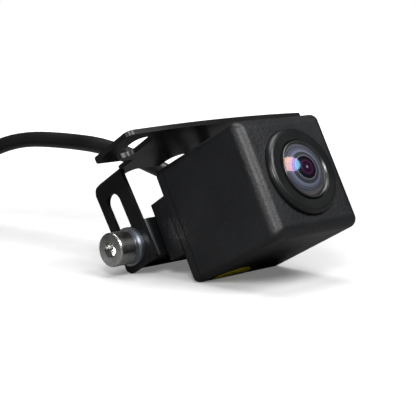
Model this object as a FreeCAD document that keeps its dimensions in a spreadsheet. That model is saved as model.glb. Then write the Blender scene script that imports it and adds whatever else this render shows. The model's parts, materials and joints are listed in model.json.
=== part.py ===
import FreeCAD, Part
import math
import os
import Sketcher
from FreeCAD import Placement, Rotation, Vector

# Backup camera for a truck or trailer: a small sealed cube camera that tilts and slides in the
# slotted ears of a stamped steel bracket, held by a socket cap screw on each side, with a lead
# that runs back to a tied coil and a four-pin threaded connector. Millimetres.
#
# Row frame: +X to the camera's right as it looks out, +Y to the rear, +Z up. The origin is under
# the middle of the camera and bracket, on the surface that they stand on.
#
# Two local frames are used for the pieces, both with x right, y up and z forward out of the lens:
#   camera frame   origin at the middle of the housing's flat front face
#   bracket frame  origin at the middle of the tilt axis between the two ears

SIZES = {
    # pose on the surface
    "camera_pitch": 28.5,
    "bracket_pitch": 32.5,
    "axis_height": 5.757,
    "axis_back": 13.114,
    # housing
    "housing_width": 25.0,
    "housing_height": 24.5,
    "housing_depth": 23.1,
    "housing_wall": 1.6,
    "face_wall": 2.4,
    "front_round": 2.2,
    "long_round": 1.5,
    "cover_front": 23.25,
    "cover_back": 26.0,
    "cover_round": 1.5,
    "lip_wall": 1.1,
    "lip_depth": 1.6,
    "gasket_depth": 0.5,
    "gasket_inset": 0.4,
    "post_x": 9.2,
    "post_y": 8.9,
    "post_radius": 2.1,
    "post_length": 9.0,
    "cover_screw_radius": 0.8,
    "cover_screw_head": 1.7,
    "cover_screw_length": 8.0,
    # rear boss and hinge block
    "boss_width": 24.2,
    "boss_low": -5.7,
    "boss_high": 6.9,
    "boss_back": 30.4,
    "boss_draft": 3.0,
    "axis_depth": 36.3,
    "axis_up": 0.5,
    "block_half_width": 13.9,
    "block_half_height": 4.0,
    "block_front": 31.2,
    "block_back": 40.4,
    "block_round": 1.2,
    "neck_half_width": 9.0,
    "neck_half_height": 2.8,
    "block_screw_x": 3.2,
    "block_screw_radius": 1.2,
    "block_screw_head": 2.1,
    "block_screw_tip": 37.0,
    # lens
    "recess_radius": 9.1,
    "recess_depth": 1.3,
    "bezel_radius": 9.0,
    "bezel_bore": 6.15,
    "bezel_proud": 1.35,
    "bezel_round": 0.95,
    "seal_inside": 7.2,
    "seal_outside": 8.0,
    "seal_depth": 0.5,
    "barrel_radius": 6.0,
    "barrel_front": 1.5,
    "barrel_back": 13.0,
    "glass_radius": 5.7,
    "glass_dome": 11.0,
    "ring_proud": 1.8,
    "ring_bore": 5.5,
    "seat_depth": 1.2,
    "hollow_radius": 10.0,
    "hollow_depth": 8.0,
    "spacer_bore": 3.2,
    "spacer_rim": 5.2,
    "spacer_top": 0.2,
    "spacer_steps": 6,
    "tube_bore": 4.2,
    "holder_radius": 7.0,
    "holder_base_width": 17.0,
    "holder_base_height": 12.0,
    "holder_front": 8.0,
    "holder_ledge": 14.4,
    "holder_window": 3.6,
    # circuit boards
    "board_width": 18.4,
    "board_corner": 3.6,
    "board_thickness": 0.8,
    "sensor_board_front": 16.2,
    "signal_board_front": 19.4,
    "spacer_x": 7.4,
    "spacer_y": 4.4,
    "spacer_radius": 1.1,
    "board_screw_radius": 0.55,
    # label on the underside
    "label_radius": 4.7,
    "label_thickness": 0.08,
    "label_x": -3.9,
    "label_depth": 24.0,
    # bracket
    "sheet": 1.0,
    "plate_top": 15.7,
    "plate_half_width": 25.8,
    "plate_front": 22.6,
    "plate_bow": 1.1,
    "plate_rear": 10.3,
    "wing_round": 1.6,
    "ear_outside": 15.0,
    "ear_front": 5.45,
    "ear_rear": 4.15,
    "ear_bottom": 4.8,
    "ear_corner_cut": 1.0,
    "ear_round": 2.2,
    "bend_outside": 1.7,
    "notch_half_width": 12.0,
    "notch_front": 5.2,
    "notch_round": 2.6,
    "relief_half_width": 3.4,
    "relief_centre": 6.6,
    "slot_half_width": 2.15,
    "slot_low": -0.1,
    "slot_high": 9.65,
    "wing_slot_x": 19.5,
    "wing_slot_half_width": 2.5,
    "wing_slot_front": 18.3,
    "wing_slot_rear": 14.3,
    # clamp screws
    "thread_radius": 2.0,
    "thread_clearance": 0.03,
    "screw_length": 10.0,
    "screw_head_radius": 3.5,
    "screw_head_height": 4.0,
    "screw_head_round": 0.35,
    "hex_across": 3.0,
    "hex_depth": 2.2,
    "washer_gap": 0.05,
    "washer_radius": 4.0,
    "washer_bore": 2.15,
    "washer_thickness": 0.8,
    "spring_radius": 3.6,
    "spring_thickness": 1.0,
    "spring_split": 0.7,
    # lead
    "cable_radius": 1.8,
    "gland_slope": 43.0,
    "gland_root": 2.6,
    "gland_length": 7.0,
    "gland_tip_radius": 2.3,
    "gland_base_radius": 2.6,
    "lead_length": 9.0,
    "straight_length": 20.0,
    "tie_angle": -60.0,
    "boot_ribs": 4,
    "nut_flutes": 24,
    "nut_flute_radius": 0.4,
    "coil_x": -30.0,
    "coil_y": 95.0,
    "coil_mean_radius": 20.0,
    "coil_half_width": 5.4,
    "coil_height": 10.8,
    "coil_floor": 0.6,
    "tie_width": 4.0,
    "tie_thickness": 0.6,
    # connector
    "plug_x": -51.0,
    "plug_height": 6.4,
    "boot_start": 73.0,
    "boot_length": 14.0,
    "boot_tip_radius": 2.6,
    "boot_base_radius": 4.6,
    "shell_radius": 5.6,
    "shell_shoulder": 22.0,
    "shell_front": 34.0,
    "shell_neck_radius": 4.9,
    "shell_flange_radius": 5.4,
    "shell_flange_back": 30.0,
    "nut_radius": 6.4,
    "nut_bore": 5.0,
    "nut_thread_bore": 5.5,
    "nut_length": 17.0,
    "nut_start": 22.4,
    "insert_radius": 3.9,
    "insert_length": 8.0,
    "pin_radius": 0.5,
    "pin_circle": 1.9,
    "pin_length": 6.0,
}

doc = FreeCAD.newDocument("backup_camera")
sheet = doc.addObject("Spreadsheet::Sheet", "Sizes")
for row, (alias, value) in enumerate(SIZES.items(), start=1):
    sheet.set(f"A{row}", alias)
    sheet.set(f"B{row}", str(value))
    sheet.setAlias(f"B{row}", alias)
doc.recompute()

parts = []


def size(text):
    """The value of an expression written in the sheet's aliases."""
    return float(sheet.evalExpression(named(text)))


def named(text):
    """The expression with each alias given its sheet's name."""
    words = []
    word = ""
    for letter in str(text) + " ":
        if letter.isalnum() or letter == "_" or letter == ".":
            word += letter
            continue
        words.append("Sizes." + word if word in SIZES else word)
        words.append(letter)
        word = ""
    return "".join(words).strip()


# ---------------------------------------------------------------- sketch and feature helpers

def new_body(label):
    body = doc.addObject("PartDesign::Body", label)
    body.Label = label
    parts.append(body)
    return body


def add_sketch(body, plane="XY_Plane", offset="0"):
    """An empty sketch on one of the body's own origin planes, moved along that plane's normal."""
    sketch = body.newObject("Sketcher::SketchObject", body.Label + "_sketch")
    support = next(item for item in body.Origin.OriginFeatures if item.Role == plane)
    sketch.AttachmentSupport = [(support, "")]
    sketch.MapMode = "FlatFace"
    sketch.setExpression("AttachmentOffset.Base.z", named(offset))
    return sketch


def place_point(sketch, geometry, end, x, y):
    """Hold one end of a sketch line or arc at (x, y), both expressions."""
    for kind, text in (("DistanceX", x), ("DistanceY", y)):
        index = sketch.addConstraint(
            Sketcher.Constraint(kind, -1, 1, geometry, end, size(text)))
        sketch.setExpression(f"Constraints[{index}]", named(text))


def outline(sketch, points):
    """A closed outline of straight sides through points given as pairs of expressions."""
    corners = [Vector(size(x), size(y), 0) for x, y in points]
    first = sketch.GeometryCount
    count = len(points)
    for i, corner in enumerate(corners):
        sketch.addGeometry(Part.LineSegment(corner, corners[(i + 1) % count]), False)
    for i, (x, y) in enumerate(points):
        previous = first + (i - 1) % count
        sketch.addConstraint(Sketcher.Constraint("Coincident", previous, 2, first + i, 1))
        place_point(sketch, first + i, 1, x, y)


def rectangle(sketch, left, right, low, high):
    outline(sketch, [(left, low), (right, low), (right, high), (left, high)])


def circle(sketch, x, y, radius):
    item = sketch.addGeometry(
        Part.Circle(Vector(size(x), size(y), 0), Vector(0, 0, 1), size(radius)), False)
    place_point(sketch, item, 3, x, y)
    index = sketch.addConstraint(Sketcher.Constraint("Radius", item, size(radius)))
    sketch.setExpression(f"Constraints[{index}]", named(radius))


def long_hole(sketch, start, end, radius):
    """A slot with round ends, whose end arcs are centred on two points given as expressions."""
    centres = [Vector(size(x), size(y), 0) for x, y in (start, end)]
    along = (centres[1] - centres[0]).normalize()
    side = Vector(-along.y, along.x, 0) * size(radius)
    heading = math.atan2(along.y, along.x)
    quarter = math.pi / 2
    turns = ((heading + quarter, heading + 3 * quarter), (heading - quarter, heading + quarter))
    arcs = []
    for centre, (begin, finish) in zip(centres, turns):
        ring = Part.Circle(centre, Vector(0, 0, 1), size(radius))
        arcs.append(sketch.addGeometry(Part.ArcOfCircle(ring, begin, finish), False))
    lines = [sketch.addGeometry(Part.LineSegment(centres[0] - side, centres[1] - side), False),
             sketch.addGeometry(Part.LineSegment(centres[1] + side, centres[0] + side), False)]
    joins = ((arcs[0], 2, lines[0], 1), (lines[0], 2, arcs[1], 1),
             (arcs[1], 2, lines[1], 1), (lines[1], 2, arcs[0], 1))
    for join in joins:
        sketch.addConstraint(Sketcher.Constraint("Tangent", *join))
    place_point(sketch, arcs[0], 3, *start)
    place_point(sketch, arcs[1], 3, *end)
    index = sketch.addConstraint(Sketcher.Constraint("Radius", arcs[0], size(radius)))
    sketch.setExpression(f"Constraints[{index}]", named(radius))


def sweep_sketch(body, kind, sketch, length, reverse=False, both_ways=False):
    """A Pad or Pocket of a sketch, with its length bound to the sheet."""
    feature = body.newObject("PartDesign::" + kind, body.Label + "_" + kind.lower())
    feature.Profile = sketch
    feature.setExpression("Length", named(length))
    feature.Reversed = reverse
    feature.Midplane = both_ways
    doc.recompute()
    return feature


def pad(body, sketch, length, reverse=False, both_ways=False):
    return sweep_sketch(body, "Pad", sketch, length, reverse, both_ways)


def pocket(body, sketch, length, reverse=False, both_ways=False):
    """Cut a sketch into the body, and make sure that something was cut away."""
    before = body.Shape.Volume
    feature = sweep_sketch(body, "Pocket", sketch, length, reverse, both_ways)
    if body.Shape.Volume > before - 1e-4:
        raise ValueError("the cut in " + body.Label + " removed nothing")
    return feature


def soften(body, wanted, radius, kind="Fillet"):
    """Round or bevel the edges whose middle point satisfies wanted(point, edge)."""
    edges = []
    for number, edge in enumerate(body.Tip.Shape.Edges, start=1):
        middle = edge.valueAt((edge.FirstParameter + edge.LastParameter) / 2)
        if wanted(middle, edge):
            edges.append(f"Edge{number}")
    if not edges:
        raise ValueError("no edge to soften in " + body.Label)
    feature = body.newObject("PartDesign::" + kind, body.Label + "_" + kind.lower())
    feature.Base = (body.Tip if body.Tip != feature else feature.BaseFeature, edges)
    feature.setExpression("Radius" if kind == "Fillet" else "Size", named(radius))
    doc.recompute()
    return feature


def turned(label, points):
    """A body turned about the local z axis from an outline of (radius, z) expressions."""
    body = new_body(label)
    sketch = add_sketch(body, "XZ_Plane")
    outline(sketch, points)
    spin = body.newObject("PartDesign::Revolution", label + "_turn")
    spin.Profile = sketch
    spin.ReferenceAxis = (sketch, ["V_Axis"])
    spin.Angle = 360
    doc.recompute()
    return body


def near(value, target, slack=0.02):
    return abs(value - target) < slack


def upright(edge):
    """True for a straight edge that runs along the local z axis."""
    if len(edge.Vertexes) < 2:
        return False
    start, end = (vertex.Point for vertex in edge.Vertexes)
    return near(start.x, end.x) and near(start.y, end.y)


# ---------------------------------------------------------------- front housing

half_width = "housing_width / 2"
half_height = "housing_height / 2"
inner_x = "housing_width / 2 - housing_wall"
inner_y = "housing_height / 2 - housing_wall"


def centred(sketch, x, y):
    rectangle(sketch, f"-({x})", x, f"-({y})", y)


def at_corners(sketch, x, y, radius):
    """Four equal circles at the corners of a centred rectangle."""
    for across in ("", "-"):
        for up in ("", "-"):
            circle(sketch, across + x, up + y, radius)


housing = new_body("front_housing")
face = add_sketch(housing, offset="-housing_depth")
centred(face, half_width, half_height)
pad(housing, face, "housing_depth")
soften(housing, lambda point, edge: upright(edge), "long_round")
soften(housing, lambda point, edge: near(point.z, 0), "front_round")
cavity = add_sketch(housing, offset="-housing_depth")
centred(cavity, inner_x, inner_y)
pocket(housing, cavity, "housing_depth - face_wall", reverse=True)
posts = add_sketch(housing, offset="-housing_depth")
at_corners(posts, "post_x", "post_y", "post_radius")
pad(housing, posts, "post_length")
threads = add_sketch(housing, offset="-housing_depth")
at_corners(threads, "post_x", "post_y", "cover_screw_radius")
pocket(housing, threads, "post_length - 1", reverse=True)
recess = add_sketch(housing)
circle(recess, "0", "0", "recess_radius")
pocket(housing, recess, "recess_depth")
opening = add_sketch(housing)
circle(opening, "0", "0", "barrel_radius + 0.1")
pocket(housing, opening, "face_wall + 1")

# ---------------------------------------------------------------- rear cover and its gasket

lip_x = inner_x + " - 0.1"
lip_y = inner_y + " - 0.1"
gasket_x = half_width + " - gasket_inset"
gasket_y = half_height + " - gasket_inset"

cover = new_body("rear_cover")
flange = add_sketch(cover, offset="-cover_back")
centred(flange, half_width, half_height)
pad(cover, flange, "cover_back - cover_front")
soften(cover, lambda point, edge: upright(edge), "long_round")
soften(cover, lambda point, edge: near(point.z, -size("cover_back")), "cover_round")
boss = add_sketch(cover, offset="-cover_back + 0.5")
rectangle(boss, "-boss_width / 2", "boss_width / 2", "boss_low", "boss_high")
boss_pad = pad(cover, boss, "boss_back - cover_back + 0.5", reverse=True)
boss_pad.setExpression("TaperAngle", named("-boss_draft"))
doc.recompute()
soften(cover, lambda point, edge: near(point.z, -size("boss_back")) and
       abs(point.x) > size("boss_width / 2") - 1, "0.5")
rebate = add_sketch(cover, offset="-cover_front")
centred(rebate, gasket_x, gasket_y)
centred(rebate, lip_x, lip_y)
pocket(cover, rebate, "gasket_depth")
lip = add_sketch(cover, offset="-cover_front")
centred(lip, lip_x, lip_y)
centred(lip, lip_x + " - lip_wall", lip_y + " - lip_wall")
pad(cover, lip, "lip_depth")
lip_corners = add_sketch(cover, offset="-cover_front")
at_corners(lip_corners, "post_x", "post_y", "post_radius + 0.15")
pocket(cover, lip_corners, "lip_depth", reverse=True)
clearance = add_sketch(cover, offset="-cover_front")
at_corners(clearance, "post_x", "post_y", "cover_screw_radius + 0.2")
pocket(cover, clearance, "cover_back - cover_front")
sinks = add_sketch(cover, offset="-cover_back")
at_corners(sinks, "post_x", "post_y", "cover_screw_head + 0.1")
pocket(cover, sinks, "1.2", reverse=True)


def block_screw_holes(body, radius, offset, depth, reverse):
    holes = add_sketch(body, offset=offset)
    for side in ("", "-"):
        circle(holes, side + "block_screw_x", "axis_up", radius)
    pocket(body, holes, depth, reverse)


block_screw_holes(cover, "block_screw_radius + 0.15", "-cover_front",
                  "boss_back - cover_front", False)
block_screw_holes(cover, "block_screw_head + 0.1", "-cover_front", "2.2", False)

gasket = new_body("housing_gasket")
ring = add_sketch(gasket, offset="-cover_front - gasket_depth")
centred(ring, gasket_x + " - 0.05", gasket_y + " - 0.05")
centred(ring, inner_x, inner_y)
pad(gasket, ring, "gasket_depth + cover_front - housing_depth")


# ---------------------------------------------------------------- lens assembly


def rim(radius, height):
    """Picks the circular edge of a given radius about z, at a given z."""
    def wanted(point, edge):
        return near(math.hypot(point.x, point.y), size(radius)) and near(point.z, size(height))
    return wanted


def primitive(kind, label, lengths, base=("0", "0", "0"), angle=0.0, axis=Vector(1, 0, 0)):
    """A Part primitive whose sizes and place are bound to the sheet."""
    item = doc.addObject("Part::" + kind, label)
    for name, text in lengths.items():
        item.setExpression(name, named(text))
    item.Placement = Placement(Vector(*[size(text) for text in base]), Rotation(axis, angle))
    return item


def cylinder(label, radius, low, high, x="0", y="0"):
    """A round bar along z between two heights."""
    return primitive("Cylinder", label, {"Radius": radius, "Height": f"({high}) - ({low})"},
                     (x, y, low))


def block(label, left, right, low, high, back, front):
    """A box between three pairs of limits, x, then y, then z."""
    return primitive("Box", label, {"Length": f"({right}) - ({left})",
                                    "Width": f"({high}) - ({low})",
                                    "Height": f"({front}) - ({back})"}, (left, low, back))


def joined(kind, label, pieces):
    """A boolean of several objects: MultiFuse, MultiCommon, Cut (base, tool) or Compound."""
    item = doc.addObject("Part::" + kind, label)
    if kind == "Cut":
        item.Base, item.Tool = pieces
    elif kind == "Compound":
        item.Links = pieces
    else:
        item.Shapes = pieces
    item.Label = label
    return item


def finished(item):
    parts.append(item)
    return item


bezel = turned("lens_bezel", [
    ("bezel_bore", "-recess_depth"), ("seal_inside - 0.05", "-recess_depth"),
    ("seal_inside - 0.05", "seal_depth - recess_depth"),
    ("seal_outside + 0.05", "seal_depth - recess_depth"),
    ("seal_outside + 0.05", "-recess_depth"), ("bezel_radius", "-recess_depth"),
    ("bezel_radius", "bezel_proud"), ("bezel_bore", "bezel_proud")])
soften(bezel, rim("bezel_radius", "bezel_proud"), "bezel_round")
soften(bezel, rim("bezel_bore", "bezel_proud"), "0.3")

turned("bezel_seal", [
    ("seal_inside", "-recess_depth"), ("seal_outside", "-recess_depth"),
    ("seal_outside", "seal_depth - recess_depth"), ("seal_inside", "seal_depth - recess_depth")])

turned("lens_barrel", [
    ("tube_bore", "-seat_depth"), ("glass_radius + 0.05", "-seat_depth"),
    ("glass_radius + 0.05", "barrel_front"), ("barrel_radius", "barrel_front"),
    ("barrel_radius", "-barrel_back"), ("3.4", "-barrel_back"),
    ("3.4", "3.5 - barrel_back"), ("tube_bore", "3.5 - barrel_back")])

lock_ring = turned("lens_retaining_ring", [
    ("ring_bore", "barrel_front"), ("barrel_radius", "barrel_front"),
    ("barrel_radius", "ring_proud"), ("ring_bore", "ring_proud")])
soften(lock_ring, rim("barrel_radius", "ring_proud"), "0.2")
soften(lock_ring, rim("ring_bore", "ring_proud"), "0.25", "Chamfer")


def lens_element(label, radius, back, front, dome):
    """A round lens with a flat back and a domed front whose crown reaches the given height."""
    disc = cylinder(label + "_disc", radius, back, front)
    ball = primitive("Sphere", label + "_ball", {"Radius": dome}, ("0", "0", f"{front} - {dome}"))
    return joined("MultiCommon", label, [disc, ball])


crown = "barrel_front + glass_dome - sqrt(glass_dome ^ 2 - (ring_bore - 0.05) ^ 2)"
dome = lens_element("glass_dome_part", "ring_bore - 0.05", "0", crown, "glass_dome")
seat = cylinder("glass_seat", "glass_radius", "-seat_depth", "barrel_front")
solid_lens = joined("MultiFuse", "front_lens_blank", [seat, dome])
hollow = primitive("Sphere", "front_lens_hollow", {"Radius": "hollow_radius"},
                   ("0", "0", "-hollow_depth"))
finished(joined("Cut", "front_lens", (solid_lens, hollow)))

spacer_points = [("glass_radius", "-seat_depth"), ("glass_radius", "spacer_top"),
                 ("spacer_rim", "spacer_top")]
steps = int(size("spacer_steps"))
for step in range(1, steps + 1):
    share = step / steps
    tread = f"(spacer_top - {share} * (spacer_top + seat_depth))"
    spacer_points += [(f"spacer_rim - {share - 1 / steps} * (spacer_rim - spacer_bore)", tread),
                      (f"spacer_rim - {share} * (spacer_rim - spacer_bore)", tread)]
turned("lens_spacer", spacer_points)

inner = [lens_element("second_lens", "tube_bore", "-3.4", "-1.25", "8.0"),
         lens_element("third_lens", "tube_bore", "-6.0", "-4.2", "7.0"),
         lens_element("fourth_lens", "tube_bore", "-8.6", "-6.4", "6.5")]
finished(joined("Compound", "inner_lenses", inner))

turned("aperture_stop", [("1.3", "-3.9"), ("tube_bore", "-3.9"),
                         ("tube_bore", "-3.6"), ("1.3", "-3.6")])

holder = new_body("lens_holder")
base = add_sketch(holder, offset="-sensor_board_front")
centred(base, "holder_base_width / 2", "holder_base_height / 2")
pad(holder, base, "sensor_board_front - holder_ledge")
tube = add_sketch(holder, offset="-holder_ledge")
circle(tube, "0", "0", "holder_radius")
pad(holder, tube, "holder_ledge - holder_front")
bore = add_sketch(holder, offset="-holder_ledge")
circle(bore, "0", "0", "barrel_radius")
pocket(holder, bore, "holder_ledge - holder_front", reverse=True)
window = add_sketch(holder, offset="-holder_ledge")
centred(window, "holder_window", "holder_window")
pocket(holder, window, "sensor_board_front - holder_ledge")
holder_threads = add_sketch(holder, offset="-sensor_board_front")
at_corners(holder_threads, "spacer_x", "spacer_y", "board_screw_radius")
pocket(holder, holder_threads, "1.4", reverse=True)

finished(block("ir_filter", "-4", "4", "-4", "4", "-holder_ledge", "0.4 - holder_ledge"))
finished(block("image_sensor", "-3.2", "3.2", "-3.2", "3.2",
               "-sensor_board_front", "0.9 - sensor_board_front"))

# ---------------------------------------------------------------- circuit boards

edge_at = "board_width / 2"
cut_at = "(board_width / 2 - board_corner)"


def circuit_board(label, front):
    board = new_body(label)
    shape = add_sketch(board, offset=f"-{front} - board_thickness")
    outline(shape, [(cut_at, f"-{edge_at}"), (edge_at, f"-{cut_at}"), (edge_at, cut_at),
                    (cut_at, edge_at), (f"-{cut_at}", edge_at), (f"-{edge_at}", cut_at),
                    (f"-{edge_at}", f"-{cut_at}"), (f"-{cut_at}", f"-{edge_at}")])
    at_corners(shape, "spacer_x", "spacer_y", "board_screw_radius + 0.05")
    pad(board, shape, "board_thickness")


circuit_board("sensor_board", "sensor_board_front")
circuit_board("signal_board", "signal_board_front")

board_gap = ("-signal_board_front", "-sensor_board_front - board_thickness")
board_rear = "-signal_board_front - board_thickness"
finished(block("board_connector", "-4", "4", "5.4", "7.8", *board_gap))


def at_spacers(label, make):
    """One node of four equal pieces, one at each board screw."""
    pieces = []
    for across in ("", "-"):
        for up in ("", "-"):
            name = f"{label}_{len(pieces) + 1}"
            pieces.append(make(name, across + "spacer_x", up + "spacer_y"))
    return finished(joined("Compound", label, pieces))


def spacer(name, x, y):
    outer = cylinder(name + "_outer", "spacer_radius", *board_gap, x, y)
    inner_hole = cylinder(name + "_hole", "board_screw_radius + 0.05", *board_gap, x, y)
    return joined("Cut", name, (outer, inner_hole))


def board_screw(name, x, y):
    head = cylinder(name + "_head", "1.0", f"{board_rear} - 0.6", board_rear, x, y)
    shank = cylinder(name + "_shank", "board_screw_radius", board_rear,
                     "1.3 - sensor_board_front", x, y)
    return joined("MultiFuse", name, [head, shank])


at_spacers("board_spacers", spacer)
at_spacers("board_screws", board_screw)

chips = [block("signal_chip", "-3", "3", "-2", "4", f"{board_rear} - 0.9", board_rear),
         block("memory_chip", "4", "6", "-3", "1", f"{board_rear} - 0.7", board_rear),
         block("regulator", "-6.2", "-4", "-2.5", "0.5", f"{board_rear} - 1.0", board_rear),
         cylinder("crystal", "0.9", f"{board_rear} - 1.1", board_rear, "5", "3")]
finished(joined("Compound", "board_chips", chips))
finished(block("cable_header", "-3.2", "3.2", "-7.6", "-5.2", f"{board_rear} - 2.2", board_rear))

# ---------------------------------------------------------------- fasteners of the housing

cover_screws = []
for across in ("", "-"):
    for up in ("", "-"):
        name = f"cover_screw_{len(cover_screws) + 1}"
        spot = (across + "post_x", up + "post_y")
        head = cylinder(name + "_head", "cover_screw_head",
                        "0.1 - cover_back", "1.2 - cover_back", *spot)
        shank = cylinder(name + "_shank", "cover_screw_radius", "1.2 - cover_back",
                         "1.2 - cover_back + cover_screw_length", *spot)
        cover_screws.append(joined("MultiFuse", name, [head, shank]))
finished(joined("Compound", "rear_cover_screws", cover_screws))

block_screws = []
for across in ("", "-"):
    name = f"block_screw_{len(block_screws) + 1}"
    spot = (across + "block_screw_x", "axis_up")
    head = cylinder(name + "_head", "block_screw_head", "-cover_front - 2.2",
                    "-cover_front - 0.6", *spot)
    shank = cylinder(name + "_shank", "block_screw_radius", "-block_screw_tip",
                     "-cover_front - 2.2", *spot)
    block_screws.append(joined("MultiFuse", name, [head, shank]))
finished(joined("Compound", "hinge_block_screws", block_screws))

# ---------------------------------------------------------------- hinge block

hinge = new_body("hinge_block")
bar = add_sketch(hinge, offset="-block_back")
rectangle(bar, "-block_half_width", "block_half_width",
          "axis_up - block_half_height", "axis_up + block_half_height")
pad(hinge, bar, "block_back - block_front")
soften(hinge, lambda point, edge: near(abs(point.x), size("block_half_width")) and
       near(point.y, size("axis_up")), "block_round")
neck = add_sketch(hinge, offset="-block_front")
rectangle(neck, "-neck_half_width", "neck_half_width",
          "axis_up - neck_half_height", "axis_up + neck_half_height")
pad(hinge, neck, "block_front - boss_back")
for side in (1, -1):
    tapped = add_sketch(hinge, "YZ_Plane", f"{side} * block_half_width")
    circle(tapped, "axis_up", "-axis_depth", "thread_radius + thread_clearance")
    pocket(hinge, tapped, "8", reverse=side < 0)
block_screw_holes(hinge, "block_screw_radius", "-boss_back",
                  "block_screw_tip - boss_back + 0.1", False)

# ---------------------------------------------------------------- lead gland in the rear cover

root_up = "boss_high"
root_back = "-cover_back"
lift = size("gland_slope")


def along_gland(item):
    """Turn a piece made along z so that z runs up and back out of the cover's inner corner."""
    corner = Vector(0, size(root_up), size(root_back))
    item.Placement = Placement(corner, Rotation(Vector(1, 0, 0), lift - 180))
    return item


gland_seat = along_gland(cylinder("gland_seat", "gland_base_radius", "0", "8"))
gland_seat.Placement.Base = gland_seat.Placement.multVec(Vector(0, 0, -size("gland_root")))
parts.remove(cover)
cover.Label = "rear_cover_casting"
finished(joined("Cut", "rear_cover", (cover, gland_seat)))

groove = "0.35"
gland_points = [("0", "-gland_root"), ("gland_base_radius", "-gland_root"),
                ("gland_base_radius", "3.6")]
for station in ("3.9", "5.0"):
    outer = f"(gland_base_radius - 0.09 * ({station} - 3.6))"
    gland_points += [(outer, station), (f"{outer} - {groove}", f"{station} + 0.1"),
                     (f"{outer} - {groove}", f"{station} + 0.5"), (outer, f"{station} + 0.6")]
gland_points += [("gland_tip_radius", "gland_length - 0.3"),
                 ("gland_tip_radius - 0.25", "gland_length"), ("0", "gland_length")]
gland = turned("cable_gland", gland_points)
along_gland(gland)

# ---------------------------------------------------------------- label under the housing

label_disc = cylinder("label_disc", "label_radius", "0", "label_thickness")
label_area = block("label_area", "-label_radius", "label_radius",
                   "label_depth + cover_round + 0.05 - cover_back", "label_radius",
                   "0", "label_thickness")
seal_label = finished(joined("MultiCommon", "inspection_label", [label_disc, label_area]))
label_place = Vector(size("label_x"), -size(half_height), -size("label_depth"))
seal_label.Placement = Placement(label_place, Rotation(Vector(1, 0, 0), 90))

camera_pieces = list(parts)

# ---------------------------------------------------------------- bracket

plate_low = "plate_top - sheet"
bracket = new_body("bracket")
section = add_sketch(bracket, offset="-ear_rear")
outline(section, [("-ear_outside", "-ear_bottom"), ("-ear_outside + sheet", "-ear_bottom"),
                  ("-ear_outside + sheet", plate_low), ("ear_outside - sheet", plate_low),
                  ("ear_outside - sheet", "-ear_bottom"), ("ear_outside", "-ear_bottom"),
                  ("ear_outside", "plate_top"), ("-ear_outside", "plate_top")])
pad(bracket, section, "ear_rear + ear_front")
soften(bracket, lambda point, edge: upright(edge) and near(point.y, size("plate_top")),
       "bend_outside")
soften(bracket, lambda point, edge: upright(edge) and near(point.y, size(plate_low)),
       "bend_outside - sheet")

plate = add_sketch(bracket, "XZ_Plane", f"-({plate_low})")
corner_points = [("-plate_half_width", "plate_rear"), ("-ear_outside", "plate_rear"),
                 ("-ear_outside", "ear_front"), ("ear_outside", "ear_front"),
                 ("ear_outside", "plate_rear"), ("plate_half_width", "plate_rear"),
                 ("plate_half_width", "plate_front"), ("-plate_half_width", "plate_front")]
outline(plate, corner_points)
pad(bracket, plate, "sheet", reverse=True)
bow = add_sketch(bracket, "XZ_Plane", f"-({plate_low})")
reach = size("plate_half_width")
rise = size("plate_bow")
bow_radius = (reach ** 2 + rise ** 2) / (2 * rise)
bow_circle = Part.Circle(Vector(0, size("plate_front") + rise - bow_radius, 0),
                         Vector(0, 0, 1), bow_radius)
half_angle = math.asin(reach / bow_radius)
arc = bow.addGeometry(Part.ArcOfCircle(bow_circle, math.pi / 2 - half_angle,
                                       math.pi / 2 + half_angle), False)
chord = bow.addGeometry(Part.LineSegment(Vector(-reach, size("plate_front"), 0),
                                         Vector(reach, size("plate_front"), 0)), False)
bow.addConstraint(Sketcher.Constraint("Coincident", arc, 2, chord, 1))
bow.addConstraint(Sketcher.Constraint("Coincident", chord, 2, arc, 1))
place_point(bow, chord, 1, "-plate_half_width", "plate_front")
place_point(bow, chord, 2, "plate_half_width", "plate_front")
radius_index = bow.addConstraint(Sketcher.Constraint("Radius", arc, bow_radius))
bow.setExpression(f"Constraints[{radius_index}]",
                  named("(plate_half_width ^ 2 + plate_bow ^ 2) / (2 * plate_bow)"))
pad(bracket, bow, "sheet", reverse=True)


def standing(edge):
    """True for a straight edge that runs along the local y axis."""
    start, end = (vertex.Point for vertex in edge.Vertexes[:2])
    return near(start.x, end.x) and near(start.z, end.z)


def wing_corner(point, edge):
    return (len(edge.Vertexes) == 2 and standing(edge) and
            near(abs(point.x), size("plate_half_width")))


soften(bracket, wing_corner, "wing_round")

under_plate = f"1 - ({plate_low})"
notch = add_sketch(bracket, "XZ_Plane", under_plate)
rectangle(notch, "-notch_half_width", "notch_half_width", "-ear_rear - 1", "notch_front")
pocket(bracket, notch, "sheet + 2")
soften(bracket, lambda point, edge: len(edge.Vertexes) == 2 and standing(edge) and
       near(abs(point.x), size("notch_half_width")) and near(point.z, size("notch_front")),
       "notch_round")

relief = add_sketch(bracket, "XZ_Plane", under_plate)
long_hole(relief, ("0", "notch_front"), ("0", "relief_centre"), "relief_half_width")
pocket(bracket, relief, "sheet + 2")

wing_slots = add_sketch(bracket, "XZ_Plane", under_plate)
for side in ("", "-"):
    long_hole(wing_slots, (side + "wing_slot_x", "wing_slot_rear"),
              (side + "wing_slot_x", "wing_slot_front"), "wing_slot_half_width")
pocket(bracket, wing_slots, "sheet + 2")

ear_slots = add_sketch(bracket, "YZ_Plane")
long_hole(ear_slots, ("slot_low", "0"), ("slot_high", "0"), "slot_half_width")
pocket(bracket, ear_slots, "2 * ear_outside + 2", both_ways=True)


def crosswise(edge):
    """True for a straight edge that runs along the local x axis."""
    if len(edge.Vertexes) < 2:
        return False
    start, end = (vertex.Point for vertex in edge.Vertexes)
    return near(start.y, end.y) and near(start.z, end.z)


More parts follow.
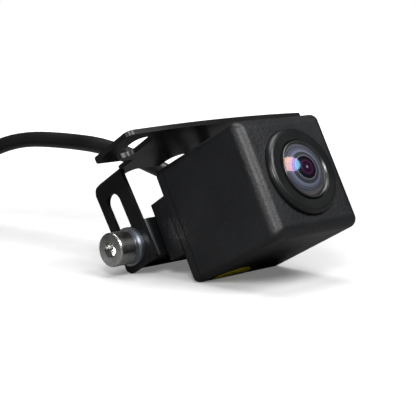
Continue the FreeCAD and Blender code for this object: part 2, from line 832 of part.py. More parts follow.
def ear_edge(height, depth):
    def wanted(point, edge):
        return (crosswise(edge) and near(point.y, size(height)) and near(point.z, size(depth))
                and abs(point.x) > size("ear_outside") - 1.5)
    return wanted


soften(bracket, ear_edge("-ear_bottom", "-ear_rear"), "ear_corner_cut", "Chamfer")
soften(bracket, ear_edge("-ear_bottom", "ear_front"), "0.6")

corner = add_sketch(bracket, "YZ_Plane")
outline(corner, [("plate_top + 0.5", "-ear_rear - 0.5"),
                 ("plate_top + 0.5", "ear_round - ear_rear"),
                 ("plate_top", "ear_round - ear_rear"),
                 ("plate_top - 0.29 * ear_round", "0.29 * ear_round - ear_rear"),
                 ("plate_top - ear_round", "-ear_rear"),
                 ("plate_top - ear_round", "-ear_rear - 0.5")])
pocket(bracket, corner, "2 * ear_outside + 2", both_ways=True)

bracket_pieces = [bracket]

# ---------------------------------------------------------------- clamp screws and washers


def clamp_set(side):
    """Screw, split washer and flat washer of one side, made with z pointing away from the ear."""
    flat_back = "ear_outside + washer_gap"
    spring_back = flat_back + " + washer_thickness"
    seat_at = spring_back + " + spring_thickness + washer_gap"

    flat = new_body(side + "_flat_washer")
    disc = add_sketch(flat, offset=flat_back)
    circle(disc, "0", "0", "washer_radius")
    circle(disc, "0", "0", "washer_bore")
    pad(flat, disc, "washer_thickness")

    spring = new_body(side + "_spring_washer")
    coil = add_sketch(spring, offset=spring_back)
    circle(coil, "0", "0", "spring_radius")
    circle(coil, "0", "0", "washer_bore")
    pad(spring, coil, "spring_thickness")
    split = add_sketch(spring, offset=spring_back)
    rectangle(split, "-spring_split / 2", "spring_split / 2", "0", "spring_radius + 1")
    pocket(spring, split, "spring_thickness", reverse=True)

    screw = new_body(side + "_clamp_screw")
    head = add_sketch(screw, offset=seat_at)
    circle(head, "0", "0", "screw_head_radius")
    pad(screw, head, "screw_head_height")
    crest = seat_at + " + screw_head_height"
    soften(screw, rim("screw_head_radius", crest), "screw_head_round")
    socket = add_sketch(screw, offset=crest)
    across = "hex_across / 2"
    tall = "hex_across / sqrt(3)"
    outline(socket, [(across, f"{tall} / 2"), ("0", tall), (f"-{across}", f"{tall} / 2"),
                     (f"-{across}", f"-{tall} / 2"), ("0", f"-{tall}"),
                     (across, f"-{tall} / 2")])
    pocket(screw, socket, "hex_depth")
    shank = add_sketch(screw, offset=seat_at)
    circle(shank, "0", "0", "thread_radius")
    pad(screw, shank, "screw_length", reverse=True)
    soften(screw, rim("thread_radius", f"{seat_at} - screw_length"), "0.4", "Chamfer")
    return [flat, spring, screw]


clamp_pieces = {1: clamp_set("right"), -1: clamp_set("left")}

# ---------------------------------------------------------------- poses of the local frames

axis_point = Vector(0, size("axis_back"), size("axis_height"))


def local_frame(pitch, origin):
    """The place of a local frame whose given point sits on the tilt axis, nose up by pitch."""
    turn = Rotation(Vector(1, 0, 0), 90 - size(pitch))
    return Placement(axis_point - turn.multVec(origin), turn)


camera_frame = local_frame("camera_pitch", Vector(0, size("axis_up"), -size("axis_depth")))
bracket_frame = local_frame("bracket_pitch", Vector(0, 0, 0))
for item in camera_pieces:
    item.Placement = camera_frame.multiply(item.Placement)
for item in bracket_pieces:
    item.Placement = bracket_frame.multiply(item.Placement)
for side, pieces in clamp_pieces.items():
    outward = Rotation(Vector(0, 1, 0), 90 * side)
    for item in pieces:
        item.Placement = bracket_frame.multiply(Placement(Vector(0, 0, 0), outward))

# ---------------------------------------------------------------- lead


def bent_path(points):
    """Straight runs joined by tangent arcs, each as large as its two runs allow."""
    radii = []
    edges = []
    here = points[0]
    for before, at, after in zip(points, points[1:], points[2:]):
        into = (at - before).normalize()
        out = (after - at).normalize()
        turn = into.getAngle(out)
        reach = 0.45 * min(at.distanceToPoint(before), at.distanceToPoint(after))
        radius = reach / math.tan(turn / 2)
        radii.append(round(radius, 1))
        start = at - into * reach
        finish = at + out * reach
        inward = (out - into).normalize()
        centre = at + inward * (radius / math.cos(turn / 2))
        middle = centre - inward * radius
        edges.append(Part.LineSegment(here, start).toShape())
        edges.append(Part.Arc(start, middle, finish).toShape())
        here = finish
    edges.append(Part.LineSegment(here, points[-1]).toShape())
    return Part.Wire(edges), radii


def cable_tube(label, points):
    """A round tube along a route of hand-chosen points."""
    path, radii = bent_path(points)
    radius = size("cable_radius")
    heading = (points[1] - points[0]).normalize()
    section = Part.Wire(Part.Circle(points[0], heading, radius).toShape())
    tube = path.makePipeShell([section], True, True)
    expected = math.pi * radius ** 2 * path.Length
    print(label, "length", round(path.Length, 1), "arc radii", radii,
          "volume over section times length", round(tube.Volume / expected, 3))
    item = doc.addObject("Part::Feature", label)
    item.Shape = tube
    item.Label = label
    return finished(item)


gland_tip = gland.Placement.multVec(Vector(0, 0, size("gland_length")))
gland_heading = gland.Placement.Rotation.multVec(Vector(0, 0, 1))
lead_end = gland_tip + gland_heading * size("lead_length")
route = [lead_end,
         gland_tip + gland_heading * size("straight_length"),
         Vector(0, 51.5, 23.4),
         Vector(-1.9, 65.5, 22.8),
         Vector(-4.3, 76.5, 18.6),
         Vector(-7.2, 85.8, 15.2),
         Vector(-11.2, 94.5, 14.0),
         Vector(-15.0, 101.3, 10.2)]
straight = cylinder("cable_lead", "cable_radius", "0", "lead_length")
straight.Placement = Placement(gland_tip, gland.Placement.Rotation)
finished(straight)
cable_tube("cable", route)
print("gland tip", gland_tip, "heading", gland_heading, "lead end", lead_end)

coil = turned("cable_coil", [
    ("coil_mean_radius - coil_half_width", "coil_floor"),
    ("coil_mean_radius + coil_half_width", "coil_floor"),
    ("coil_mean_radius + coil_half_width", "coil_floor + coil_height"),
    ("coil_mean_radius - coil_half_width", "coil_floor + coil_height")])
soften(coil, lambda point, edge: True, "cable_radius")
coil.Placement.Base = Vector(size("coil_x"), size("coil_y"), 0)

tie_reach = "(coil_half_width + 0.1)"
tie = new_body("coil_tie")
band = add_sketch(tie)
rectangle(band, f"-{tie_reach} - tie_thickness", f"{tie_reach} + tie_thickness",
          "0", "coil_floor + coil_height + tie_thickness")
pad(tie, band, "tie_width", both_ways=True)
soften(tie, lambda point, edge: upright(edge), "2 * tie_thickness")
loop = add_sketch(tie)
rectangle(loop, f"-{tie_reach}", tie_reach, "coil_floor", "coil_floor + coil_height")
pocket(tie, loop, "2 * tie_width", both_ways=True)
tie_turn = Rotation(Vector(0, 0, 1), size("tie_angle"))
tie.Placement = Placement(Vector(size("coil_x"), size("coil_y"), 0) +
                          tie_turn.multVec(Vector(size("coil_mean_radius"), 0, 0)),
                          tie_turn.multiply(Rotation(Vector(1, 0, 0), 90)))

boot_tip = Vector(size("plug_x"), size("boot_start"), size("plug_height"))
outer_turn = "coil_x - coil_mean_radius - coil_half_width + cable_radius"
coil_left = Vector(size(outer_turn), size("coil_y"), size("coil_floor + cable_radius") + 0.2)
cable_tube("cable_tail", [coil_left, Vector(-53.0, 86.5, 3.6), Vector(-51.6, 79.0, 5.8), boot_tip])

# ---------------------------------------------------------------- connector on the lead's end

boot_points = [("0", "0"), ("boot_tip_radius", "0")]
for rib in range(int(size("boot_ribs"))):
    station = 1.5 + 2.8 * rib
    outer = f"(boot_tip_radius + {station} / boot_length * (boot_base_radius - boot_tip_radius))"
    boot_points += [(outer, f"{station}"), (f"{outer} - 0.5", f"{station} + 0.3"),
                    (f"{outer} - 0.5", f"{station} + 1.0"), (f"{outer} + 0.2", f"{station} + 1.3")]
boot_points += [("boot_base_radius", "boot_length"), ("0", "boot_length")]
boot = turned("connector_boot", boot_points)

shell = turned("connector_shell", [
    ("0", "boot_length"), ("shell_radius", "boot_length"), ("shell_radius", "shell_shoulder"),
    ("shell_neck_radius", "shell_shoulder"), ("shell_neck_radius", "shell_flange_back"),
    ("shell_flange_radius", "shell_flange_back"), ("shell_flange_radius", "shell_flange_back + 2"),
    ("shell_neck_radius", "shell_flange_back + 2"), ("shell_neck_radius", "shell_front"),
    ("insert_radius + 0.05", "shell_front"),
    ("insert_radius + 0.05", "shell_front - insert_length"),
    ("0", "shell_front - insert_length")])
soften(shell, rim("shell_radius", "boot_length"), "0.8")

insert = turned("connector_insert", [
    ("0", "shell_front - insert_length"), ("insert_radius", "shell_front - insert_length"),
    ("insert_radius", "shell_front"), ("0", "shell_front")])
pin_holes = add_sketch(insert, offset="shell_front - 3")
pin_places = [("pin_circle", "0"), ("-pin_circle", "0"), ("0", "pin_circle"), ("0", "-pin_circle")]
for x, y in pin_places:
    circle(pin_holes, x, y, "pin_radius")
pocket(insert, pin_holes, "3", reverse=True)
pins = [cylinder(f"contact_{number}", "pin_radius", "shell_front - 3",
                 "shell_front - 3 + pin_length", x, y)
        for number, (x, y) in enumerate(pin_places, start=1)]
pin_set = finished(joined("Compound", "connector_pins", pins))

seal = turned("connector_seal", [
    ("shell_neck_radius", "shell_front - 1.3"), ("shell_neck_radius + 0.35", "shell_front - 1.3"),
    ("shell_neck_radius + 0.35", "shell_front - 0.5"), ("shell_neck_radius", "shell_front - 0.5")])

nut = turned("connector_nut", [
    ("nut_bore", "nut_start"), ("nut_radius", "nut_start"),
    ("nut_radius", "nut_start + nut_length"), ("nut_thread_bore", "nut_start + nut_length"),
    ("nut_thread_bore", "shell_flange_back - 0.1"), ("nut_bore", "shell_flange_back - 0.1")])
soften(nut, rim("nut_radius", "nut_start"), "0.5")
soften(nut, rim("nut_radius", "nut_start + nut_length"), "0.5")
grip = add_sketch(nut, offset="nut_start + 1.5")
flutes = int(size("nut_flutes"))
for flute in range(flutes):
    angle = flute * 360 / flutes
    circle(grip, f"(nut_radius + 0.15) * cos({angle})", f"(nut_radius + 0.15) * sin({angle})",
           "nut_flute_radius")
pocket(nut, grip, "9", reverse=True)

plug_frame = Placement(boot_tip, Rotation(Vector(1, 0, 0), 90))
for item in (boot, shell, insert, pin_set, seal, nut):
    item.Placement = plug_frame.multiply(item.Placement)

# ---------------------------------------------------------------- check and write

doc.recompute()
for item in doc.Objects:
    if "Invalid" in item.State or "Error" in item.State:
        raise ValueError(item.Label + " failed: " + str(item.State))
os.makedirs("parts", exist_ok=True)
labels = set()
for item in parts:
    shape = item.Shape
    if shape.isNull() or not shape.isValid() or not shape.Solids:
        raise ValueError(item.Label + " has no valid solid")
    if item.Label in labels:
        raise ValueError("two pieces are called " + item.Label)
    labels.add(item.Label)
    shape.exportStep(os.path.join("parts", item.Label + ".step"))
print(len(parts), "pieces written")
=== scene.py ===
import json
import math

import bpy
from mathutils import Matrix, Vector


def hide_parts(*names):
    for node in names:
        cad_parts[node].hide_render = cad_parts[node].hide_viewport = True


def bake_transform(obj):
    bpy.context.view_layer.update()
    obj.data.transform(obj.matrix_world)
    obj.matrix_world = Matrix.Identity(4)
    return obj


# Looks of a backup camera in its slotted bracket, with its lead coiled behind it. Everything is in
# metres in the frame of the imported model: +X right as the camera looks out, +Y to the rear, +Z up.

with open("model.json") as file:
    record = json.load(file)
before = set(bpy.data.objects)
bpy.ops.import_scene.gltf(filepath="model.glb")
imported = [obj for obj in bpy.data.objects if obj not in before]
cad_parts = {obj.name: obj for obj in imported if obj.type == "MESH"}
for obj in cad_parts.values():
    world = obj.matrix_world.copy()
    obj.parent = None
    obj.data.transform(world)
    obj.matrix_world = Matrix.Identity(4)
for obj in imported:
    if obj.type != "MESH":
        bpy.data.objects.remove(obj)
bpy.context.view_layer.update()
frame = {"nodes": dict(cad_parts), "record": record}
nodes = frame["nodes"]

# ---------------------------------------------------------------- camera

CAMERA_PLACE = (-0.209818, -0.196449, 0.059662)
CAMERA_TURN = (80.857, 0.0, -46.045)
FOCAL_LENGTH = 123.0
SENSOR_WIDTH = 36.0


def make_camera():
    lens = bpy.data.cameras.new("camera")
    lens.lens = FOCAL_LENGTH
    lens.sensor_width = SENSOR_WIDTH
    lens.clip_start = 0.01
    lens.clip_end = 20.0
    camera = bpy.data.objects.new("camera", lens)
    camera.location = CAMERA_PLACE
    camera.rotation_euler = [math.radians(angle) for angle in CAMERA_TURN]
    bpy.context.scene.collection.objects.link(camera)
    bpy.context.scene.camera = camera


make_camera()

# ---------------------------------------------------------------- lead

CABLE_DIAMETER = 0.0036
CABLE_SIDES = 14
GLAND_TIP = Vector((0.0, 0.013893, 0.018049))
GLAND_HEADING = Vector((0.0, 0.968148, 0.250380))
STRAIGHT_LENGTH = 0.020
ROUTE_TO_COIL = [(0.0, 0.0515, 0.0234), (-0.0019, 0.0655, 0.0228), (-0.0043, 0.0765, 0.0186),
                 (-0.0072, 0.0858, 0.0152), (-0.0112, 0.0945, 0.0140),
                 (-0.0150, 0.1013, 0.0102)]
ROUTE_TO_BOOT = [(-0.0530, 0.0865, 0.0036), (-0.0516, 0.0790, 0.0058),
                 (-0.0510, 0.0730, 0.0064)]

COIL_CENTRE = Vector((-0.030, 0.095, 0.006))
COIL_RADIUS = 0.020
COIL_STEP = 15
COIL_START = 45
COIL_END = 7 * 360 + 180
SHIFT_SPAN = 60
# places of the turns in the coil's section, as (outwards, upwards) in cable diameters, each with
# the angle where the cable moves on to the next place
COIL_PLACES = [(-1, 1, 288), (0, 1, 288), (1, 1, 216), (1, 0, 144), (0, 0, 144),
               (-1, 0, 72), (-1, -1, 0), (0, -1, 0), (1, -1, 0)]


def coil_point(angle):
    """A point of the coiled cable, which winds anticlockwise from the top inner place."""
    turn, within = divmod(angle, 360)
    out_from, up_from, shift_at = COIL_PLACES[turn]
    out_to, up_to, _ = COIL_PLACES[turn + 1]
    share = min(max((within - shift_at) / SHIFT_SPAN, 0), 1)
    share = share * share * (3 - 2 * share)
    radius = COIL_RADIUS + CABLE_DIAMETER * (out_from + (out_to - out_from) * share)
    height = CABLE_DIAMETER * (up_from + (up_to - up_from) * share)
    heading = math.radians(within)
    return COIL_CENTRE + Vector((radius * math.cos(heading), radius * math.sin(heading), height))


def smooth_route(points):
    """Points along the smooth spline that has the given points as its control points."""
    curve = bpy.data.curves.new("route", "CURVE")
    curve.dimensions = "3D"
    curve.resolution_u = 6
    spline = curve.splines.new("NURBS")
    spline.points.add(len(points) - 1)
    for knot, point in zip(spline.points, points):
        knot.co = (*point, 1.0)
    spline.order_u = 3
    spline.use_endpoint_u = True
    holder = bpy.data.objects.new("route", curve)
    line = bpy.data.meshes.new_from_object(holder)
    path = [vertex.co.copy() for vertex in line.vertices]
    bpy.data.objects.remove(holder)
    bpy.data.meshes.remove(line)
    return path


def link_mesh(name, vertices, faces, smooth=True):
    mesh = bpy.data.meshes.new(name)
    mesh.from_pydata(vertices, [], faces)
    if smooth:
        mesh.shade_smooth()
    piece = bpy.data.objects.new(name, mesh)
    bpy.context.scene.collection.objects.link(piece)
    return piece


def tube(name, path, radius, sides):
    """A closed round tube along a path, without twist."""
    vertices = []
    faces = []
    side = Vector((1, 0, 0))
    last = len(path) - 1
    for i, point in enumerate(path):
        along = (path[min(i + 1, last)] - path[max(i - 1, 0)]).normalized()
        side = (side - along * side.dot(along)).normalized()
        other = along.cross(side)
        for k in range(sides):
            angle = 2 * math.pi * k / sides
            vertices.append(point + (side * math.cos(angle) + other * math.sin(angle)) * radius)
    for i in range(last):
        for k in range(sides):
            here, beside = i * sides + k, i * sides + (k + 1) % sides
            faces.append((here, beside, beside + sides, here + sides))
    faces.append(tuple(reversed(range(sides))))
    faces.append(tuple(last * sides + k for k in range(sides)))
    return link_mesh(name, vertices, faces)


def make_cable():
    points = [GLAND_TIP, GLAND_TIP + GLAND_HEADING * STRAIGHT_LENGTH]
    points += [Vector(point) for point in ROUTE_TO_COIL]
    points += [coil_point(angle) for angle in range(COIL_START, COIL_END + 1, COIL_STEP)]
    points += [Vector(point) for point in ROUTE_TO_BOOT]
    path = smooth_route(points)
    cable = tube("lead", path, CABLE_DIAMETER / 2, CABLE_SIDES)
    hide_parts("cable_lead", "cable", "cable_coil", "cable_tail")
    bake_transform(cable)
    return cable


cable = make_cable()

# ---------------------------------------------------------------- materials


class Finish:
    """A Principled material with procedural detail measured in metres of the object's frame."""

    def __init__(self, name, **sockets):
        self.material = bpy.data.materials.new(name)
        self.material.use_nodes = True
        self.tree = self.material.node_tree
        self.surface = self.tree.nodes["Principled BSDF"]
        self.place = self.add("ShaderNodeTexCoord").outputs["Object"]
        self.normal = None
        for socket, value in sockets.items():
            self.surface.inputs[socket.replace("_", " ")].default_value = value

    def add(self, kind, inputs=None, **settings):
        node = self.tree.nodes.new(kind)
        for name, value in settings.items():
            setattr(node, name, value)
        for name, value in (inputs or {}).items():
            if isinstance(value, bpy.types.NodeSocket):
                self.tree.links.new(value, node.inputs[name])
            else:
                node.inputs[name].default_value = value
        return node

    def link(self, output, socket):
        self.tree.links.new(output, self.surface.inputs[socket])

    def stretched(self, scale):
        """The object's coordinates, scaled along each axis."""
        return self.add("ShaderNodeMapping",
                        {"Vector": self.place, "Scale": scale}).outputs["Vector"]

    def noise(self, feature, detail, rough=0.5, place=None):
        """A noise whose features are about the given size in metres."""
        return self.add("ShaderNodeTexNoise", {
            "Vector": place or self.place, "Scale": 0.5 / feature, "Detail": detail,
            "Roughness": rough}).outputs["Fac"]

    def spread(self, value, low, high, start=0.35, end=0.65):
        """Map a texture's value from start..end to low..high."""
        return self.add("ShaderNodeMapRange", {
            "Value": value, "From Min": start, "From Max": end, "To Min": low,
            "To Max": high}).outputs["Result"]

    def blend(self, share, first, second):
        """A colour between two, each a triple or a colour output."""
        node = self.add("ShaderNodeMix", data_type="RGBA")
        self.tree.links.new(share, node.inputs[0])
        for socket, value in ((node.inputs[6], first), (node.inputs[7], second)):
            if isinstance(value, bpy.types.NodeSocket):
                self.tree.links.new(value, socket)
            else:
                socket.default_value = (*value, 1.0)
        return node.outputs[2]

    def bump(self, height, depth):
        """Raise the surface by the given depth in metres where the height is 1."""
        inputs = {"Height": height, "Distance": depth, "Strength": 1.0}
        if self.normal:
            inputs["Normal"] = self.normal
        self.normal = self.add("ShaderNodeBump", inputs).outputs["Normal"]
        self.link(self.normal, "Normal")

    def colour(self, output):
        self.link(output, "Base Color")

    def roughness(self, value, low, high):
        self.link(self.spread(value, low, high), "Roughness")


PATCH_SIZE = 0.006
SHEEN_SPREAD = 0.04


def moulded(name, dark, light, roughness, grain, depth, specular):
    """Moulded or coated surface: fine grain, soft patches of tone and sheen."""
    finish = Finish(name, Specular_IOR_Level=specular)
    patches = finish.noise(PATCH_SIZE, 4.0)
    fine = finish.noise(grain, 2.0, 0.6)
    finish.colour(finish.blend(finish.spread(patches, 0.0, 1.0), dark, light))
    finish.roughness(patches, roughness - SHEEN_SPREAD, roughness + SHEEN_SPREAD)
    finish.bump(fine, depth)
    return finish


def housing_finish():
    return moulded("housing_plastic", dark=(0.0026, 0.0029, 0.0038), light=(0.0042, 0.0046, 0.0056),
                   roughness=0.47, grain=0.00036, depth=0.000080, specular=0.38).material


def bezel_finish():
    return moulded("bezel_plastic", dark=(0.0035, 0.0039, 0.0042), light=(0.0056, 0.0060, 0.0060),
                   roughness=0.34, grain=0.00012, depth=0.000006, specular=0.30).material


def bracket_finish():
    return moulded("bracket_paint", dark=(0.0035, 0.0037, 0.0041), light=(0.0056, 0.0058, 0.0062),
                   roughness=0.32, grain=0.00035, depth=0.000008, specular=0.26).material


def hinge_finish():
    return moulded("hinge_paint", dark=(0.0038, 0.0041, 0.0046), light=(0.0060, 0.0064, 0.0070),
                   roughness=0.40, grain=0.00028, depth=0.000014, specular=0.24).material


def cable_finish():
    """Smooth jacket with a faint unevenness, as a drawn cable has."""
    finish = moulded("cable_jacket", dark=(0.0045, 0.0045, 0.0050), light=(0.0075, 0.0075, 0.0080),
                     roughness=0.34, grain=0.00016, depth=0.000006, specular=0.36)
    drawn = finish.noise(0.0009, 3.0)
    finish.bump(drawn, 0.00002)
    return finish.material


def rubber_finish():
    return moulded("soft_rubber", dark=(0.0080, 0.0080, 0.0085), light=(0.0140, 0.0140, 0.0145),
                   roughness=0.62, grain=0.00020, depth=0.000015, specular=0.30).material


def anodised_finish():
    return moulded("black_anodised", dark=(0.0080, 0.0080, 0.0085), light=(0.0130, 0.0130, 0.0140),
                   roughness=0.30, grain=0.00008, depth=0.000003, specular=0.55).material


WORN_TONE = 0.72


def turned_steel(name, tone, roughness, tint):
    """Bright turned steel: fine rings round the screw's axis and a few wear patches."""
    finish = Finish(name, Metallic=1.0)
    rings = finish.noise(0.00006, 3.0, 0.7, finish.stretched((1.0, 0.06, 0.06)))
    wear = finish.noise(0.0012, 5.0)
    finish.colour(finish.blend(finish.spread(wear, 0.0, 1.0),
                               [tone * part for part in tint],
                               [tone * WORN_TONE * part for part in tint]))
    finish.roughness(wear, roughness - 0.06, roughness + 0.10)
    finish.bump(rings, 0.000006)
    return finish.material


LENS_CENTRE = Vector((0.0, -0.019025, 0.022640))
LENS_AXIS = (0.0, -0.8788, 0.4772)
# sideways shift of the painted pupil's centre
PAINTED_PUPIL_ASIDE = Vector((-0.0009, 0.0, 0.0))
# colours painted on the front lens by distance from the pupil's centre, standing in for its light
# and shade:
# a painted glint (highlight), a painted dark pupil (shade) with two magenta rings and a pale rim of
# painted reflection, then painted reflections of the steps behind the glass
LENS_SHADE_AND_REFLECTION_BANDS = [(0.00018, (0.75, 0.60, 0.70)), (0.00026, (0.002, 0.002, 0.003)),
              (0.0005, (0.050, 0.010, 0.045)), (0.0009, (0.006, 0.002, 0.008)),
              (0.0013, (0.045, 0.010, 0.038)), (0.0019, (0.003, 0.003, 0.004)),
              (0.0023, (0.006, 0.006, 0.009)), (0.0025, (0.13, 0.14, 0.155)),
              (0.0029, (0.030, 0.033, 0.042)), (0.0036, (0.150, 0.170, 0.230)),
              (0.0046, (0.050, 0.056, 0.080)), (0.0049, (0.110, 0.115, 0.135)),
              (0.0054, (0.040, 0.042, 0.048))]
# colours painted on the inner lens by distance from the lens axis: a painted black pupil (shade), a
# painted magenta reflection, then painted dark shade
INNER_SHADE_AND_REFLECTION_BANDS = [(0.0007, (0.004, 0.003, 0.010)), (0.0014, (0.085, 0.010, 0.060)),
               (0.0027, (0.010, 0.010, 0.014))]


def distance_from_lens_axis(finish, centre):
    """Distance from a line through the given centre, along the lens axis."""
    offset = finish.add("ShaderNodeVectorMath", {0: finish.place, 1: centre},
                        operation="SUBTRACT").outputs["Vector"]
    across = finish.add("ShaderNodeVectorMath", {0: offset, 1: LENS_AXIS},
                        operation="CROSS_PRODUCT").outputs["Vector"]
    return finish.add("ShaderNodeVectorMath", {0: across}, operation="LENGTH").outputs["Value"]


def ringed(finish, radius, bands):
    """A colour that passes through each band's colour at its distance from the lens axis."""
    colour = bands[0][1]
    for (inner, _), (outer, tone) in zip(bands, bands[1:]):
        share = finish.spread(radius, 0.0, 1.0, inner, outer)
        colour = finish.blend(share, colour, tone)
    return colour


def fine_rings(finish, radius, scale):
    """Thin uneven rings round the lens axis."""
    return finish.add("ShaderNodeTexNoise", {"W": radius, "Scale": scale, "Detail": 1.0},
                      noise_dimensions="1D").outputs["Fac"]


def lens_finish():
    """Coated glass painted with light and shade in rings: a painted dark pupil, a painted magenta
    halo of reflection, then painted pale steps.
    """
    finish = Finish("coated_glass", Transmission_Weight=0.30, IOR=1.60, Thin_Film_IOR=1.46)
    radius = distance_from_lens_axis(finish, LENS_CENTRE + PAINTED_PUPIL_ASIDE)
    depth = ringed(finish, radius, LENS_SHADE_AND_REFLECTION_BANDS)
    # painted shade: thin dark rings over the painted bands
    rings = finish.spread(fine_rings(finish, radius, 2400.0), 0.0, 0.7)
    finish.colour(finish.blend(rings, depth, (0.003, 0.003, 0.004)))
    film = finish.spread(radius, 350.0, 262.0, 0.0022, 0.0040)
    finish.link(film, "Thin Film Thickness")
    smears = finish.noise(0.003, 3.0)
    finish.roughness(smears, 0.08, 0.13)
    return finish.material


def inner_lens_finish():
    """Coated glass with a painted dark opening: a painted magenta reflection round a painted black
    pupil, with fine painted dark rings.
    """
    finish = Finish("inner_glass", Specular_IOR_Level=0.5, Thin_Film_Thickness=100.0,
                    Thin_Film_IOR=1.38)
    radius = distance_from_lens_axis(finish, LENS_CENTRE)
    depth = ringed(finish, radius, INNER_SHADE_AND_REFLECTION_BANDS)
    rings = fine_rings(finish, radius, 2600.0)
    # painted shade: fine dark rings over the painted bands
    finish.colour(finish.blend(finish.spread(rings, 0.0, 0.6), depth, (0.004, 0.004, 0.006)))
    finish.roughness(rings, 0.05, 0.12)
    return finish.material


def baffle_finish():
    """Satin black with paler, worn patches."""
    finish = Finish("baffle_black", Specular_IOR_Level=0.5)
    wear = finish.noise(0.0005, 3.0)
    finish.colour(finish.blend(finish.spread(wear, 0.0, 1.0), (0.030, 0.031, 0.034),
                               (0.055, 0.056, 0.060)))
    finish.roughness(wear, 0.34, 0.46)
    return finish.material


def board_finish():
    """Green solder mask with a paler grid of tracks."""
    finish = Finish("board_mask", Roughness=0.35)
    tracks = finish.add("ShaderNodeTexBrick", {
        "Vector": finish.place, "Scale": 260.0, "Mortar Size": 0.012,
        "Color1": (0.0, 0.0, 0.0, 1.0), "Color2": (0.1, 0.1, 0.1, 1.0),
        "Mortar": (1.0, 1.0, 1.0, 1.0)})
    finish.colour(finish.blend(tracks.outputs["Color"], (0.010, 0.080, 0.035),
                               (0.030, 0.160, 0.070)))
    finish.bump(tracks.outputs["Color"], 0.00003)
    return finish.material


def plain_moulding(name, dark, light, roughness=0.45):
    return moulded(name, dark, light, roughness, grain=0.00015, depth=0.000006,
                   specular=0.5).material


def brass_finish():
    finish = Finish("brass", Metallic=1.0)
    wear = finish.noise(0.0008, 4.0)
    finish.colour(finish.blend(finish.spread(wear, 0.0, 1.0), (0.62, 0.45, 0.17),
                               (0.48, 0.33, 0.12)))
    finish.roughness(wear, 0.22, 0.38)
    return finish.material


def strap_finish():
    """Woven hook and loop tape."""
    finish = Finish("woven_tape", Roughness=0.9, Sheen_Weight=0.4)
    waves = [finish.add("ShaderNodeTexWave", {"Vector": finish.place, "Scale": 900.0},
                        bands_direction=axis).outputs["Fac"] for axis in ("X", "Z")]
    weave = finish.add("ShaderNodeMath", {0: waves[0], 1: waves[1]},
                       operation="MULTIPLY").outputs["Value"]
    finish.colour(finish.blend(weave, (0.006, 0.006, 0.007), (0.022, 0.022, 0.024)))
    finish.bump(weave, 0.0002)
    return finish.material


def label_finish():
    """Plain yellow film with a faint mottle."""
    finish = Finish("yellow_film", Coat_Weight=0.3)
    mottle = finish.noise(0.0009, 4.0)
    finish.colour(finish.blend(finish.spread(mottle, 0.0, 1.0), (0.95, 0.78, 0.030),
                               (0.80, 0.66, 0.030)))
    finish.roughness(mottle, 0.32, 0.50)
    return finish.material


def sensor_finish():
    finish = Finish("sensor_glass", Roughness=0.12, Metallic=0.4,
                    Thin_Film_Thickness=500.0, Thin_Film_IOR=1.7)
    grid = finish.add("ShaderNodeTexChecker", {"Vector": finish.place, "Scale": 9000.0})
    finish.colour(finish.blend(grid.outputs["Fac"], (0.05, 0.04, 0.09), (0.09, 0.07, 0.12)))
    return finish.material


def filter_finish():
    finish = Finish("filter_glass", Transmission_Weight=0.8, IOR=1.5)
    haze = finish.noise(0.002, 2.0)
    finish.colour(finish.blend(finish.spread(haze, 0.0, 1.0), (0.50, 0.75, 0.70),
                               (0.60, 0.80, 0.76)))
    finish.roughness(haze, 0.02, 0.08)
    return finish.material


STEEL_TINT = (1.0, 0.99, 0.97)
ZINC_TINT = (0.92, 0.97, 1.06)
FINISHES = {
    "housing": housing_finish(),
    "bezel": bezel_finish(),
    "lens_metal": anodised_finish(),
    "lens_glass": lens_finish(),
    "filter_glass": filter_finish(),
    "sensor": sensor_finish(),
    "holder": plain_moulding("holder_plastic", (0.006, 0.006, 0.006), (0.010, 0.010, 0.010)),
    "board": board_finish(),
    "chip": plain_moulding("chip_epoxy", (0.010, 0.010, 0.011), (0.020, 0.020, 0.022)),
    "header": plain_moulding("ivory_plastic", (0.55, 0.52, 0.44), (0.65, 0.62, 0.54)),
    "brass": brass_finish(),
    "small_screw": turned_steel("nickel_screw", 0.50, 0.30, STEEL_TINT),
    "seal": rubber_finish(),
    "hinge": hinge_finish(),
    "bracket": bracket_finish(),
    "clamp_screw": turned_steel("turned_steel", 0.60, 0.24, STEEL_TINT),
    "washer": turned_steel("zinc_steel", 0.46, 0.34, ZINC_TINT),
    "gland": plain_moulding("moulded_rubber", (0.007, 0.007, 0.008), (0.012, 0.012, 0.013), 0.5),
    "cable": cable_finish(),
    "tie": strap_finish(),
    "connector": plain_moulding("connector_nylon", (0.009, 0.009, 0.010), (0.016, 0.016, 0.017)),
    "insert": plain_moulding("insulator", (0.030, 0.030, 0.033), (0.045, 0.045, 0.050)),
    "label": label_finish(),
}
INNER_GLASS = inner_lens_finish()
BAFFLE_BLACK = baffle_finish()


def paint(piece, material):
    piece.data.materials.clear()
    piece.data.materials.append(material)


for subpart in frame["record"]["subparts"]:
    paint(nodes[subpart["node"]], FINISHES[subpart["material_slot"]])
paint(nodes["inner_lenses"], INNER_GLASS)
paint(nodes["lens_spacer"], BAFFLE_BLACK)
paint(cable, FINISHES["cable"])

# ---------------------------------------------------------------- eased edges of the CAD pieces

EASED = {"bracket": 0.00014, "hinge_block": 0.00015, "rear_cover": 0.00008,
         "left_clamp_screw": 0.00010, "right_clamp_screw": 0.00010,
         "left_flat_washer": 0.00010, "right_flat_washer": 0.00010,
         "left_spring_washer": 0.00010, "right_spring_washer": 0.00010,
         "connector_shell": 0.00015, "connector_nut": 0.00010}
CREASE_ANGLE = math.radians(28)


def ease_edges(piece, width):
    """Round the sharp edges a little, as tumbling, stamping or paint leaves them."""
    bevel = piece.modifiers.new("eased_edges", "BEVEL")
    bevel.width = width
    bevel.segments = 2
    bevel.limit_method = "ANGLE"
    bevel.angle_limit = CREASE_ANGLE
    bevel.harden_normals = False


for name, width in EASED.items():
    ease_edges(nodes[name], width)

# ---------------------------------------------------------------- floor and light

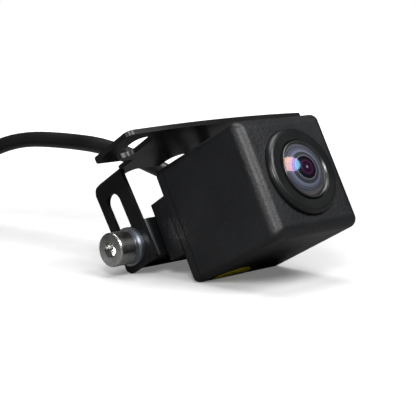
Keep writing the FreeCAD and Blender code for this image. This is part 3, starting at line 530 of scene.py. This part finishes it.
FLOOR_FRONT = 0.8
FLOOR_BACK = 1.6
FLOOR_SEEN = 0.48
FLOOR_GLOW = 0.16
FLOOR_BOUNCE = 0.15
FLOOR_MOTTLE = 0.96
GLOW_NEAR = 0.08
GLOW_FAR = 0.26
WORLD_SEEN = 1.0
WORLD_LIGHT = 0.045
AIM = Vector((0.0, -0.005, 0.016))


def seen_or_lit(tree, seen, lit):
    """One value for what the camera sees directly and another for what lights the object."""
    rays = tree.nodes.new("ShaderNodeLightPath")
    level = tree.nodes.new("ShaderNodeMapRange")
    level.inputs["To Min"].default_value = lit
    level.inputs["To Max"].default_value = seen
    tree.links.new(rays.outputs["Is Camera Ray"], level.inputs["Value"])
    return level.outputs["Result"]


def grey(level):
    return (level, level, level)


def make_floor():
    """White paper that glows a little to the camera and throws less light back than it shows."""
    corners = [(-FLOOR_FRONT, -FLOOR_FRONT, 0), (FLOOR_BACK, -FLOOR_FRONT, 0),
               (FLOOR_BACK, FLOOR_BACK, 0), (-FLOOR_FRONT, FLOOR_BACK, 0)]
    floor = link_mesh("floor", corners, [(0, 1, 2, 3)], smooth=False)
    finish = Finish("floor_paper", Specular_IOR_Level=0.1, Emission_Color=(1.0, 1.0, 1.0, 1.0))
    speckle = finish.noise(0.004, 2.0)
    paper = finish.blend(finish.spread(speckle, 0.0, 1.0), grey(FLOOR_SEEN),
                         grey(FLOOR_MOTTLE * FLOOR_SEEN))
    away = finish.add("ShaderNodeVectorMath", {0: finish.place}, operation="LENGTH")
    glow = finish.spread(away.outputs["Value"], FLOOR_GLOW, 1.0, GLOW_NEAR, GLOW_FAR)
    seen_glow = finish.add("ShaderNodeMath", {
        0: seen_or_lit(finish.tree, 1.0, 0.0), 1: glow}, operation="MULTIPLY")
    finish.colour(finish.blend(seen_or_lit(finish.tree, 0.0, 1.0), paper,
                               grey(FLOOR_BOUNCE)))
    finish.link(seen_glow.outputs["Value"], "Emission Strength")
    finish.roughness(speckle, 0.75, 0.85)
    paint(floor, finish.material)


def area_light(name, place, width, height, watts):
    """A soft oval light aimed at the middle of the camera."""
    light = bpy.data.lights.new(name, "AREA")
    light.shape = "ELLIPSE"
    light.size = width
    light.size_y = height
    light.energy = watts
    lamp = bpy.data.objects.new(name, light)
    lamp.location = place
    lamp.rotation_euler = (AIM - Vector(place)).to_track_quat("-Z", "Y").to_euler()
    bpy.context.scene.collection.objects.link(lamp)


def make_world():
    """A pale surround that lights the object less than it shows behind it."""
    world = bpy.data.worlds.new("studio")
    world.use_nodes = True
    tree = world.node_tree
    backdrop = tree.nodes["Background"]
    backdrop.inputs["Color"].default_value = (1.0, 1.0, 1.0, 1.0)
    tree.links.new(seen_or_lit(tree, WORLD_SEEN, WORLD_LIGHT), backdrop.inputs["Strength"])
    bpy.context.scene.world = world


make_floor()
make_world()
area_light("key", (-0.30, -0.26, 0.28), width=0.15, height=0.15, watts=2.1)
area_light("top", (0.02, 0.05, 0.50), width=0.40, height=0.40, watts=2.4)
area_light("left_window", (-0.42, 0.02, 0.16), width=0.10, height=0.24, watts=0.5)
area_light("front_box", (0.07, -0.34, 0.42), width=0.34, height=0.26, watts=3.0)
bpy.context.scene.view_settings.view_transform = "Standard"
